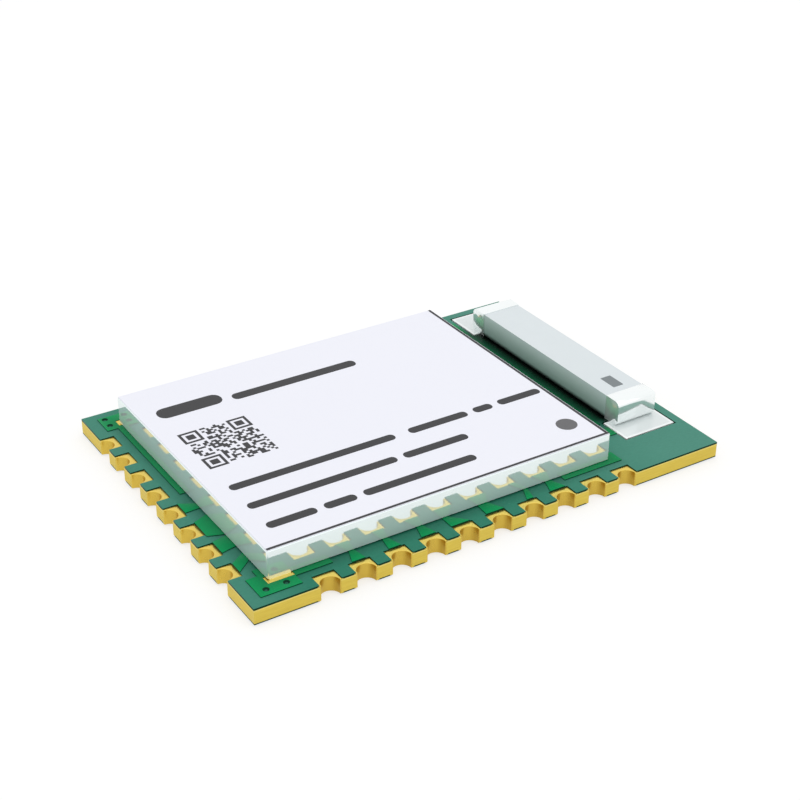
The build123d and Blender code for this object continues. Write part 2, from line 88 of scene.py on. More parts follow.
CODE_FRONT = -0.47
CODE_SEED = 5
CODE_DARK = 0.5
CODE_FRAME = 7
CODE_FRAME_BARS = ((0, 1, 0, 7), (6, 7, 0, 7), (1, 6, 0, 1), (1, 6, 6, 7), (2, 5, 2, 5))

# Meshes: angles in degrees, the distance in millimetres

MERGE_DISTANCE = 0.0002
FLAT_ANGLE = 0.5
SHARP_ANGLE = 35.0
SMOOTH_ANGLE = 40.0
EDGE_SEGMENTS = 2
BLOCK_SEGMENTS = 3
CORNER_SEGMENTS = 4

# Stage. The floor's drop and the camera's place are in millimetres, the other lengths in metres.

FLOOR_SIZE = 0.6
FLOOR_DROP = 0.01
FLOOR_LIT = 0.80
FLOOR_SEEN = 0.38
FLOOR_GLOW = 0.65
ROOM_LIGHT = 0.84
LAMPS = (Lamp("Top lamp", (0.0, 0.0, 0.16), 0.14, 0.030),
         Lamp("Side lamp", (0.06, -0.12, 0.10), 0.10, 0.012),
         Lamp("Left lamp", (-0.14, -0.02, 0.05), 0.10, 0.010))
CAMERA_PLACE = (-25.46, -40.29, 28.80)
CAMERA_TURN = -32.45
CAMERA_HEIGHT = 29.50
CAMERA_ROLL = 0.34
FOCAL_PIXELS = 1588.2
PICTURE_PIXELS = 800
SENSOR_WIDTH = 36.0
CLIP_START = 0.001
CLIP_END = 10.0


def from_srgb(red, green, blue):
    """Linear colour of a screen colour given from 0 to 255."""
    shares = [value / 255 for value in (red, green, blue)]
    return tuple(c / 12.92 if c <= 0.04045 else ((c + 0.055) / 1.055) ** 2.4 for c in shares)


def colour(name, description, screen):
    """Colour that a user can change, with a screen colour as its default."""
    return FloatVectorProperty(name=name, description=description, subtype="COLOR", size=3,
                               min=0.0, max=1.0, default=from_srgb(*screen))


def length(name, description, millimetres):
    """Length that a user can change, with its default in millimetres."""
    return FloatProperty(name=name, description=description, default=millimetres * MM,
                         subtype="DISTANCE", unit="LENGTH", precision=6)


class ModuleColours(bpy.types.PropertyGroup):
    """Colours of the finishes."""
    mask_bare: colour("Bare mask", "Solder mask straight on the laminate", (48, 127, 104))
    # Painted light: bare mask lighter towards the board's two ends.
    mask_painted_light: colour("Pale mask", "Bare mask towards the board's two ends", (82, 146, 129))
    mask_copper: colour("Mask on copper", "Solder mask over copper", (8, 150, 86))
    # Painted shade on the mask's steps, cut edges and dimples, at the can's foot, and on the
    # laminate's level faces.
    mask_painted_shade: colour("Mask edge", "Steps and cut edges of the solder mask", (8, 58, 38))
    # Painted shade: the mask in the slot beside the antenna, darkest along the antenna's foot.
    painted_slot_shade: colour("Mask shade", "Solder mask in the slot beside the antenna", (0, 58, 36))
    painted_foot_shade: colour("Foot shade", "Darkest shade, along the antenna's foot", (0, 6, 3))
    laminate: colour("Laminate", "Cut edge of the board", (232, 206, 88))
    resin: colour("Resin", "Darker layers in the cut edge", (196, 158, 50))
    fibre: colour("Fibre", "Light fibre ends in the cut edge", (252, 238, 160))
    # Painted highlight along the upper rim of the board's cut edge.
    laminate_painted_highlight: colour("Laminate rim", "Upper rim of the cut edge", (250, 234, 140))
    gold: colour("Gold", "Gold-plated pads and half-holes", (222, 192, 84))
    # Painted shade inside the half-holes.
    gold_painted_shade: colour("Deep gold", "Gold inside the half-holes", (170, 134, 46))
    # Painted light on gold faces that look up.
    gold_painted_light: colour("Top gold", "Gold on faces that look up", (238, 212, 116))
    copper: colour("Copper", "Copper layers under the mask", (200, 124, 92))
    shield: colour("Shield", "Tinned sheet of the can", (240, 250, 250))
    label: colour("Label", "Printed film on the can", (244, 245, 254))
    ink: colour("Ink", "Print on the label", (64, 64, 66))
    dot: colour("Dot", "Orientation dot on the label", (108, 108, 110))
    ceramic: colour("Ceramic", "Body of the antenna", (222, 230, 233))
    # Painted shade on the antenna's side along the slot.
    ceramic_painted_shade: colour("Ceramic side", "Antenna's side along the slot", (80, 135, 112))
    ceramic_mark: colour("Mark", "Mark on the antenna", (126, 134, 137))
    # The pads' rims take the tin colour as a painted highlight.
    soldered_pad: colour("Soldered pad", "Middle of the antenna's pads", (228, 234, 234))
    tin: colour("Tin", "End caps and solder", (248, 252, 252))
    moulding: colour("Moulding", "Body of the radio chip", (34, 34, 36))
    capacitor: colour("Capacitor", "Ceramic of the capacitors", (176, 142, 104))
    inductor: colour("Inductor", "Ceramic of the matching inductors", (92, 128, 150))
    ferrite: colour("Ferrite", "Core of the converter inductor", (62, 60, 60))
    glaze: colour("Glaze", "Glaze on the resistors", (26, 26, 28))
    crystal_base: colour("Crystal base", "Ceramic under the crystals' lids", (84, 78, 74))
    crystal_lid: colour("Crystal lid", "Plated lids of the crystals", (214, 208, 190))


class ModuleSizes(bpy.types.PropertyGroup):
    """Sizes of what is added to the solids."""
    sheet_edge: length("Mask edge", "Rounding of the solder mask's edges", 0.012)
    metal_edge: length("Metal edge", "Rounding of plated edges", 0.012)
    ceramic_edge: length("Ceramic edge", "Rounding of the antenna's long edges", 0.035)
    label_edge: length("Label edge", "Rounding of the label's edges", 0.006)
    ink_height: length("Ink height", "Thickness of the print", 0.003)
    bar_height: length("Bar height", "Height of a printed bar", 0.36)
    title_height: length("Title height", "Height of a bar in the title", 0.70)
    border_width: length("Border width", "Width of the label's border line", 0.10)
    dot_diameter: length("Dot diameter", "Orientation dot on the label", 0.74)
    code_size: length("Code size", "Side of the printed pattern", 2.50)
    code_cells: IntProperty(name="Code cells", description="Cells along the printed pattern",
                            default=25, min=9, max=49)


def colours():
    """The scene's colours."""
    return bpy.context.scene.module_colours


def sizes():
    """The scene's sizes."""
    return bpy.context.scene.module_sizes


# Shader nodes


class Fade(namedtuple("Fade", "low high start end", defaults=(0.0, 1.0))):
    """Range of a value, with the share at its low end and at its high end."""

    def past(self, level, unit=1.0):
        """The same shares over a range that is counted from a level, in a unit."""
        return self._replace(low=level + self.low * unit, high=level + self.high * unit)


class Shader:
    """Nodes of one material or group, with short ways to add and link them."""

    MIX_INPUTS = (0, 6, 7)
    MIX_OUTPUT = 2

    def __init__(self, tree):
        self.tree = tree

    def add(self, kind, settings=None, **inputs):
        """New node with its settings and inputs, whose names have _ for a space."""
        node = self.tree.nodes.new(kind)
        for key, value in (settings or {}).items():
            setattr(node, key, value)
        for key, value in inputs.items():
            self.put(node, key.replace("_", " "), value)
        return node

    def put(self, node, name, value):
        """Links a socket or sets a plain value, found by the input's name."""
        socket = name if isinstance(name, bpy.types.NodeSocket) else node.inputs[name]
        if isinstance(value, bpy.types.NodeSocket):
            self.tree.links.new(value, socket)
        elif socket.type == "RGBA" and len(value) == 3:
            socket.default_value = (*value, 1.0)
        else:
            socket.default_value = value

    def maths(self, operation, *values):
        """Result of a Math node."""
        node = self.add("ShaderNodeMath", {"operation": operation})
        for socket, value in zip(node.inputs, values):
            self.put(node, socket, value)
        return node.outputs[0]

    def times(self, product, *factors):
        """Product of two or more values."""
        for factor in factors:
            product = self.maths("MULTIPLY", product, factor)
        return product

    def blend(self, factor, first, second):
        """Mix of two colours. The node's sockets share their names, so places find them."""
        node = self.add("ShaderNodeMix", {"data_type": "RGBA"})
        for place, value in zip(self.MIX_INPUTS, (factor, first, second)):
            self.put(node, node.inputs[place], value)
        return node.outputs[self.MIX_OUTPUT]

    def ramp(self, value, fade):
        """Share that a fade gives to a value, held at both ends of its range."""
        node = self.add("ShaderNodeMapRange", Value=value, From_Min=fade.low, From_Max=fade.high,
                        To_Min=fade.start, To_Max=fade.end)
        return node.outputs[0]

    def place(self):
        """Place on the object in millimetres, and its three parts."""
        coords = self.add("ShaderNodeTexCoord").outputs["Object"]
        scaled = self.add("ShaderNodeVectorMath", {"operation": "SCALE"}, Vector=coords, Scale=1 / MM)
        parts = self.add("ShaderNodeSeparateXYZ", Vector=scaled.outputs[0])
        return scaled.outputs[0], parts.outputs

    def noise(self, place, scale, detail=2.0, roughness=0.5, stretch=None):
        """Value of a noise texture, squeezed along the axes by its stretch."""
        if stretch:
            place = self.add("ShaderNodeMapping", Vector=place, Scale=stretch).outputs[0]
        node = self.add("ShaderNodeTexNoise", Vector=place, Scale=scale, Detail=detail,
                        Roughness=roughness)
        return node.outputs["Fac"]

    def dress(self, surface, base, roughness, scale, amount):
        """Gives a surface its colour and gloss, both drifting slowly."""
        mottled = self.group(mottling_group(), Colour=base, Scale=scale, Amount=amount,
                             Roughness=roughness)
        self.put(surface, "Base Color", mottled["Colour"])
        self.put(surface, "Roughness", mottled["Roughness"])

    def group(self, tree, **inputs):
        """Outputs of a node group with its inputs given."""
        node = self.tree.nodes.new("ShaderNodeGroup")
        node.node_tree = tree
        for key, value in inputs.items():
            self.put(node, key.replace("_", " "), value)
        return node.outputs


def new_group(name, inputs, outputs):
    """Empty shader group with the named sockets: (name, kind, default)."""
    tree = bpy.data.node_groups.new(name, "ShaderNodeTree")
    for label, kind, default in inputs:
        socket = tree.interface.new_socket(name=label, in_out="INPUT", socket_type=kind)
        socket.default_value = (*default, 1.0) if kind == "NodeSocketColor" else default
    for label, kind in outputs:
        tree.interface.new_socket(name=label, in_out="OUTPUT", socket_type=kind)
    shader = Shader(tree)
    return shader, shader.add("NodeGroupInput").outputs, shader.add("NodeGroupOutput")


GLOSS_DRIFT = 1.5


def mottling_group():
    """Slow drift of a colour and its gloss, as in a film, paint or plating."""
    name = "Mottling"
    if name in bpy.data.node_groups:
        return bpy.data.node_groups[name]
    shader, given, out = new_group(
        name,
        [("Colour", "NodeSocketColor", (0.8, 0.8, 0.8)), ("Scale", "NodeSocketFloat", 1.0),
         ("Amount", "NodeSocketFloat", 0.1), ("Roughness", "NodeSocketFloat", 0.4)],
        [("Colour", "NodeSocketColor"), ("Roughness", "NodeSocketFloat")])
    place, _ = shader.place()
    slow = shader.noise(place, given["Scale"], detail=3.0)
    drift = shader.times(shader.maths("SUBTRACT", slow, 0.5), given["Amount"])
    factor = shader.maths("ADD", drift, 1.0)
    scaled = shader.add("ShaderNodeVectorMath", {"operation": "SCALE"}, Vector=given["Colour"],
                        Scale=factor)
    shader.put(out, "Colour", scaled.outputs[0])
    shader.put(out, "Roughness", shader.maths("MULTIPLY_ADD", drift, GLOSS_DRIFT,
                                              given["Roughness"]))
    return shader.tree


def grain_group():
    """Fine grain for a Bump node's height, stretched along X, Y or Z by its inputs."""
    name = "Grain"
    if name in bpy.data.node_groups:
        return bpy.data.node_groups[name]
    shader, given, out = new_group(
        name,
        [("Scale", "NodeSocketFloat", 10.0), ("Stretch", "NodeSocketVector", (1.0, 1.0, 1.0))],
        [("Height", "NodeSocketFloat")])
    place, _ = shader.place()
    stretched = shader.add("ShaderNodeVectorMath", {"operation": "MULTIPLY"})
    for socket, value in zip(stretched.inputs, (place, given["Stretch"])):
        shader.put(stretched, socket, value)
    shader.put(out, "Height", shader.noise(stretched.outputs[0], given["Scale"], detail=4.0,
                                           roughness=0.6))
    return shader.tree


def specks_group():
    """Mask of small scattered specks, white where a speck is."""
    name = "Specks"
    if name in bpy.data.node_groups:
        return bpy.data.node_groups[name]
    shader, given, out = new_group(
        name,
        [("Scale", "NodeSocketFloat", 8.0), ("Size", "NodeSocketFloat", 0.2)],
        [("Mask", "NodeSocketFloat")])
    place, _ = shader.place()
    cells = shader.add("ShaderNodeTexVoronoi", Vector=place, Scale=given["Scale"])
    near = shader.maths("SUBTRACT", given["Size"], cells.outputs["Distance"])
    shader.put(out, "Mask", shader.ramp(near, Fade(0.0, 0.08)))
    return shader.tree


def finish(name, base=None, metallic=0.0, roughness=0.4, specular=0.5, scale=1.0, amount=0.08,
           grain=60.0, stretch=(1.0, 1.0, 1.0), bump=0.15, depth=0.0006):
    """Principled material with drifting colour and gloss, and a fine grain in its surface."""
    material = bpy.data.materials.new(name)
    material.use_nodes = True
    shader = Shader(material.node_tree)
    surface = material.node_tree.nodes["Principled BSDF"]
    shader.put(surface, "Metallic", metallic)
    shader.put(surface, "Specular IOR Level", specular)
    height = shader.group(grain_group(), Scale=grain, Stretch=stretch)["Height"]
    relief = shader.add("ShaderNodeBump", Strength=bump, Distance=depth * MM, Height=height)
    shader.put(surface, "Normal", relief.outputs[0])
    if base is not None:
        shader.dress(surface, base, roughness, scale, amount)
    return material, shader, surface


def seen_rays(shader):
    """One for rays that show a thing directly or in gloss, and zero for those that light it."""
    path = shader.add("ShaderNodeLightPath").outputs
    direct = shader.maths("MAXIMUM", path["Is Camera Ray"], path["Is Glossy Ray"])
    return shader.maths("MAXIMUM", direct, path["Is Transmission Ray"])


def slope_of(shader, axis):
    """How far the flat surface faces along an axis, from -1 to 1."""
    normal = shader.add("ShaderNodeNewGeometry").outputs["True Normal"]
    return shader.add("ShaderNodeSeparateXYZ", Vector=normal).outputs[axis]


def flatness(shader):
    """One on a level face and zero on an upright one."""
    return shader.maths("ABSOLUTE", slope_of(shader, Z))


def reach(shader, parts, node):
    """How far a point lies outside a node's box, seen from above, and inside it below zero."""
    low, high = (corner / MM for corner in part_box(node))
    outside = []
    for axis in (X, Y):
        middle, half = (low[axis] + high[axis]) / 2, (high[axis] - low[axis]) / 2
        away = shader.maths("ABSOLUTE", shader.maths("SUBTRACT", parts[axis], middle))
        outside.append(shader.maths("SUBTRACT", away, half))
    return shader.maths("MAXIMUM", *outside)


# Solder mask. RAISED and DIMPLE_SHADE count in steps from the bare film, the other places in
# millimetres.

RAISED = Fade(0.2, 0.8)
DIMPLE_SHADE = Fade(-0.2, -0.4, 0.0, 0.55)
# Painted light: the bare mask pales towards the board's two ends.
PAINTED_LIGHT_RIGHT = Fade(1.0, 7.0, 0.0, 0.85)
PAINTED_LIGHT_LEFT = Fade(-7.0, -8.6, 0.0, 0.55)
# Painted shade on steep steps and cut edges, in dimples and at the can's foot.
STEEP_SHADE = Fade(0.95, 0.80)
CAN_FOOT_SHADE = Fade(0.0, 0.55, 0.38, 0.0)
WEAVE = Fade(0.35, 0.65, 0.0, 0.10)
WEAVE_GREEN = (0.02, 0.10, 0.07)


def mask_material(name, level, step):
    """Green film at a level in millimetres, brighter where it steps over copper.

    Painted shade darkens its steps, cut edges and dimples, the film at the foot of the can and the
    slot beside the antenna, and painted light pales it towards the board's two ends. The step is below
    zero for the film on the board's lower face.
    """
    tones = colours()
    material, shader, surface = finish(name, specular=0.06, grain=25.0, bump=0.10, depth=0.0015)
    place, parts = shader.place()
    on_top = step > 0
    # Painted light: paler bare mask towards the board's two ends.
    ends = shader.maths("MAXIMUM", shader.ramp(parts[X], PAINTED_LIGHT_RIGHT),
                        shader.ramp(parts[X], PAINTED_LIGHT_LEFT))
    bare = shader.blend(ends, tones.mask_bare, tones.mask_painted_light)
    raised = shader.ramp(parts[Z], RAISED.past(level, step))
    base = shader.blend(raised, bare, tones.mask_copper)
    weave = shader.noise(place, scale=5.0, detail=1.0, stretch=(1.0, 6.0, 1.0))
    base = shader.blend(shader.ramp(weave, WEAVE), base, WEAVE_GREEN)
    # Painted shade on steep faces, in dimples and, on top, along the foot of the can.
    dark = shader.maths("MAXIMUM", shader.ramp(flatness(shader), STEEP_SHADE),
                        shader.ramp(parts[Z], DIMPLE_SHADE.past(level, step)))
    if on_top:
        wall = shader.ramp(reach(shader, parts, "shield_can"), CAN_FOOT_SHADE)
        dark = shader.maths("MAXIMUM", dark, wall)
    base = shader.blend(dark, base, tones.mask_painted_shade)
    if on_top:
        # Painted shade in the slot beside the antenna and along its foot.
        slot, foot = slot_and_foot_painted_shade(shader, parts)
        base = shader.blend(slot, base, tones.painted_slot_shade)
        base = shader.blend(foot, base, tones.painted_foot_shade)
    shader.dress(surface, base, roughness=0.24, scale=0.6, amount=0.10)
    return material


# Painted shade in the slot between the can and the antenna. Its fades start at the can's wall, at
# the antenna's left side, or at the antenna's front and back ends. SLOT_DEPTH runs from the can to the
# antenna.

SLOT_START = Fade(-0.4, 0.0, 0.0, 0.80)
SLOT_DEPTH = Fade(0.5, -0.3, 0.20, 1.25)
SLOT_END = Fade(0.1, 0.5, 1.0, 0.0)
SLOT_FOOT = Fade(-0.3, -0.1)
SLOT_FRONT = Fade(-0.6, 0.8)
SLOT_BACK = Fade(0.6, -0.4)


def slot_and_foot_painted_shade(shader, parts):
    """Shares of painted shade in the slot between the can and the antenna, and at the antenna's foot.
    """
    low, high = (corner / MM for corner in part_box("antenna_body"))
    can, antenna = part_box("shield_can")[1].x / MM, low.x
    under = shader.ramp(parts[X], SLOT_END.past(antenna))
    depth = SLOT_DEPTH._replace(low=can + SLOT_DEPTH.low, high=antenna + SLOT_DEPTH.high)
    along = shader.times(shader.ramp(parts[Y], SLOT_FRONT.past(low.y)),
                         shader.ramp(parts[Y], SLOT_BACK.past(high.y)))
    slot = shader.times(shader.ramp(parts[X], SLOT_START.past(can)), under,
                        shader.ramp(parts[X], depth), along)
    foot = shader.times(shader.ramp(parts[X], SLOT_FOOT.past(antenna)), under, along)
    return slot, foot


# Cut edge of the board. RIM_HIGHLIGHT, a painted highlight, counts in millimetres from the laminate's
# top.

LAYERS = Fade(0.35, 0.7, 0.0, 0.22)
FIBRE_SHARE = 0.12
# Painted highlight on the laminate's upper rim.
RIM_HIGHLIGHT = Fade(-0.06, -0.02, 0.0, 0.6)
# Painted shade on the laminate's level faces.
COVERED_FACE_SHADE = Fade(0.5, 0.9)


def laminate_material():
    """Cut edge of glass-fibre laminate: fine layers one above the other, with light fibre ends.

    Its upper rim is paler with a painted highlight, and its two faces under the mask are dark with
    painted shade.
    """
    tones = colours()
    material, shader, surface = finish("Laminate edge", specular=0.12, grain=16.0,
                                       stretch=(1.0, 1.0, 7.0), bump=0.25, depth=0.002)
    place, parts = shader.place()
    layers = shader.noise(place, scale=3.0, stretch=(0.5, 0.5, 9.0))
    base = shader.blend(shader.ramp(layers, LAYERS), tones.laminate, tones.resin)
    fibres = shader.group(specks_group(), Scale=14.0, Size=0.22)["Mask"]
    base = shader.blend(shader.times(fibres, FIBRE_SHARE), base, tones.fibre)
    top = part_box("board_core")[1].z / MM
    # Painted highlight along the laminate's upper rim.
    base = shader.blend(shader.ramp(parts[Z], RIM_HIGHLIGHT.past(top)), base, tones.laminate_painted_highlight)
    # Painted shade on the laminate's level faces.
    base = shader.blend(shader.ramp(flatness(shader), COVERED_FACE_SHADE), base, tones.mask_painted_shade)
    shader.dress(surface, base, roughness=0.42, scale=1.0, amount=0.10)
    return material


# Gold, with painted shade in the half-holes. HOLE_SHADE counts in millimetres inwards from the board's
# edge, LONG_ROW from its long edges.

HOLE_SHADE = Fade(-0.05, -0.30, 0.0, 0.30)
LONG_ROW = Fade(-0.5, -0.4)
TURNED_LEFT_SHADE = Fade(-0.30, -0.85, 0.0, 0.7)
UPRIGHT = Fade(0.6, 0.2)
# Painted light on faces that look up.
LOOKING_UP_LIGHT = Fade(0.8, 1.0, 0.0, 0.5)


def gold_material():
    """Gold plating, darker with painted shade in the half-holes and paler with painted light on the
    faces that look up.
    """
    tones = colours()
    material, shader, surface = finish("Gold plating", metallic=0.85, specular=0.2, grain=30.0,
                                       bump=0.05, depth=0.0010)
    _, parts = shader.place()
    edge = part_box("board_core")[1].y / MM
    # Painted shade in the half-holes and on their left-facing walls in the long rows.
    row = shader.ramp(shader.maths("ABSOLUTE", parts[Y]), LONG_ROW.past(edge))
    turned = shader.times(row, shader.ramp(slope_of(shader, X), TURNED_LEFT_SHADE))
    hole = shader.ramp(reach(shader, parts, "board_core"), HOLE_SHADE)
    painted_hole_shade = shader.times(shader.maths("MAXIMUM", hole, turned),
                        shader.ramp(flatness(shader), UPRIGHT))
    base = shader.blend(painted_hole_shade, tones.gold, tones.gold_painted_shade)
    # Painted light on gold faces that look up.
    base = shader.blend(shader.ramp(slope_of(shader, Z), LOOKING_UP_LIGHT), base, tones.gold_painted_light)
    shader.dress(surface, base, roughness=0.28, scale=2.5, amount=0.08)
    return material


# Antenna and its pads. PAD_RIM_HIGHLIGHT, a painted highlight, counts in millimetres from the pads'
# outline, CERAMIC_FOOT_SHADE from the block's underside. SIDE_SHADE holds the shares of painted shade
# at the block's underside and at its top.

PAD_RIM_HIGHLIGHT = Fade(-0.12, -0.05)
SLOT_SIDE_SHADE = Fade(-0.5, -0.9)
SIDE_SHADE = (0.72, 0.18)
CERAMIC_FOOT_SHADE = Fade(0.03, 0.14, 0.9, 0.0)


def pad_material():
    """Solder on the antenna's pads, bright along their rims with a painted highlight."""
    tones = colours()
    material, shader, surface = finish("Soldered pads", metallic=0.3, grain=12.0, bump=0.10,
                                       depth=0.001)
    _, parts = shader.place()
    # Painted highlight: the pads' rims take the brighter tin colour.
    rim = shader.ramp(reach(shader, parts, "antenna_pads"), PAD_RIM_HIGHLIGHT)
    base = shader.blend(rim, tones.soldered_pad, tones.tin)
    shader.dress(surface, base, roughness=0.20, scale=1.0, amount=0.05)
    return material


def ceramic_material():
    """Antenna's ceramic, whose side along the slot is darker with painted shade, most of all at its
    foot.
    """
    tones = colours()
    material, shader, surface = finish("Antenna ceramic", grain=25.0, bump=0.10, depth=0.0015)
    _, parts = shader.place()
    low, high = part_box("antenna_body")
    bottom, top = low.z / MM, high.z / MM
    # Painted shade on the side along the slot, darkest at its foot.
    side = shader.ramp(slope_of(shader, X), SLOT_SIDE_SHADE)
    painted_side_shade = shader.times(side, shader.ramp(parts[Z], Fade(bottom, top, *SIDE_SHADE)))
    base = shader.blend(painted_side_shade, tones.ceramic, tones.ceramic_painted_shade)
    foot = shader.times(side, shader.ramp(parts[Z], CERAMIC_FOOT_SHADE.past(bottom)))
    base = shader.blend(foot, base, tones.painted_foot_shade)
    shader.dress(surface, base, roughness=0.30, scale=1.5, amount=0.03)
    return material


# Meshes


def new_piece(name, bm, material, smooth=False):
    """Object at the origin from a finished mesh, riding on the module's only body."""
    mesh = bpy.data.meshes.new(name)
    bm.to_mesh(mesh)
    bm.free()
    piece = bpy.data.objects.new(name, mesh)
    bpy.context.scene.collection.objects.link(piece)
    mesh.materials.append(material)
    if smooth:
        mesh.shade_smooth()
        mesh.set_sharp_from_angle(angle=math.radians(SMOOTH_ANGLE))
        flat = piece.modifiers.new("Flat faces stay flat", "WEIGHTED_NORMAL")
        flat.keep_sharp = True
    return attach(piece, "root")


def merged_copy(node):
    """Mesh of a solid with its loose triangles joined to whole flat faces."""
    bm = bmesh.new()
    bm.from_mesh(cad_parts[node].data)
    bmesh.ops.remove_doubles(bm, verts=bm.verts, dist=MERGE_DISTANCE * MM)
    bmesh.ops.dissolve_limit(bm, angle_limit=math.radians(FLAT_ANGLE), verts=bm.verts,
                             edges=bm.edges)
    return bm


def rounded(bm, width, segments):
    """Rounds every sharp edge, but for those of the foot."""
    foot = min(v.co.z for v in bm.verts) + width / 2
    sharp = [e for e in bm.edges
             if e.is_manifold and e.calc_face_angle() > math.radians(SHARP_ANGLE)
             and max(v.co.z for v in e.verts) > foot]
    bmesh.ops.bevel(bm, geom=sharp, offset=width, offset_type="OFFSET", segments=segments,
                    profile=0.5, affect="EDGES", clamp_overlap=True, material=-1)
    return bm


def rounded_node(name, nodes, material, width, segments=EDGE_SEGMENTS):
    """Piece that stands for one or more solids, with rounded edges."""
    bm = bmesh.new()
    for node in nodes:
        part = rounded(merged_copy(node), width, segments)
        mesh = bpy.data.meshes.new(node + "_part")
        part.to_mesh(mesh)
        part.free()
        bm.from_mesh(mesh)
        bpy.data.meshes.remove(mesh)
    piece = new_piece(name, bm, material, smooth=True)
    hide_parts(*nodes)
    return piece


def paint(material, *nodes):
    """Gives solids that keep their shape their finish."""
    for node in nodes:
        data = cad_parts[node].data
        data.materials.clear()
        data.materials.append(material)


def plate(bm, x0, x1, y0, y1, low, thickness, radius=0.0):
    """Thin plate, with rounded corners where a radius is given, added to a mesh."""
    made = bmesh.ops.create_cube(bm, size=1.0)
    corners = made["verts"]
    bmesh.ops.scale(bm, vec=(x1 - x0, y1 - y0, thickness), verts=corners)
    bmesh.ops.translate(bm, vec=((x0 + x1) / 2, (y0 + y1) / 2, low + thickness / 2), verts=corners)
    if radius > 0:
        upright = {e for v in corners for e in v.link_edges
                   if abs(e.verts[0].co.z - e.verts[1].co.z) > thickness / 2}
        bmesh.ops.bevel(bm, geom=list(upright), offset=radius, offset_type="OFFSET",
                        segments=CORNER_SEGMENTS, profile=0.5, affect="EDGES", clamp_overlap=True,
                        material=-1)


# Operators


class ModuleOperator(bpy.types.Operator):
    """Shared settings of the module's operators."""
    bl_options = {"REGISTER", "UNDO"}

    @classmethod
    def poll(cls, context):
        """An operator needs a scene to work in."""
        return context.scene is not None


class MODULE_OT_solder_mask(ModuleOperator):
    """Green films on both faces of the board"""
    bl_idname = "module.solder_mask"
    bl_label = "Solder mask"

    def execute(self, context):
        step = (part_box("top_ground_copper")[1].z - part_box("board_core")[1].z) / MM
        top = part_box("top_solder_mask")[1].z / MM
        rounded_node("top_mask_film", ["top_solder_mask"], mask_material("Top mask", top - step, step),
                     sizes().sheet_edge)
        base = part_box("bottom_solder_mask")[0].z / MM
        paint(mask_material("Bottom mask", base + step, -step), "bottom_solder_mask")
        return {"FINISHED"}


class MODULE_OT_board(ModuleOperator):
    """Laminate, and the copper that the mask hides"""
    bl_idname = "module.board"
    bl_label = "Board"

    def execute(self, context):
        paint(laminate_material(), "board_core")
        copper, *_ = finish("Masked copper", colours().copper, metallic=1.0, roughness=0.35,
                            amount=0.12)
        paint(copper, "top_ground_copper", "signal_traces", "component_lands",
              "bottom_ground_copper", "plated_vias")
        return {"FINISHED"}


class MODULE_OT_gold_pads(ModuleOperator):
    """Gold half-holes and pads with rounded plating"""
    bl_idname = "module.gold_pads"
    bl_label = "Gold pads"

    def execute(self, context):
        gold = gold_material()
        for row in ("front", "rear", "left"):
            rounded_node(row + "_half_holes", [row + "_edge_pads"], gold, sizes().metal_edge)
        paint(gold, "bottom_inner_pads", "shield_pads")
        return {"FINISHED"}


class MODULE_OT_shield(ModuleOperator):
    """Bright tinned can and its solder joints"""
    bl_idname = "module.shield"
    bl_label = "Shield can"

    def execute(self, context):
        tin_sheet, *_ = finish("Tinned sheet", colours().shield, metallic=0.53, roughness=0.05,
                               scale=0.5, amount=0.05, grain=30.0, stretch=(0.15, 0.15, 1.0),
                               bump=0.05, depth=0.0004)
        rounded_node("shield_sheet", ["shield_can"], tin_sheet, sizes().metal_edge)
        solder, *_ = finish("Solder", colours().tin, metallic=0.9, roughness=0.25)
        paint(solder, "shield_foot_solder", "component_solder")
        return {"FINISHED"}


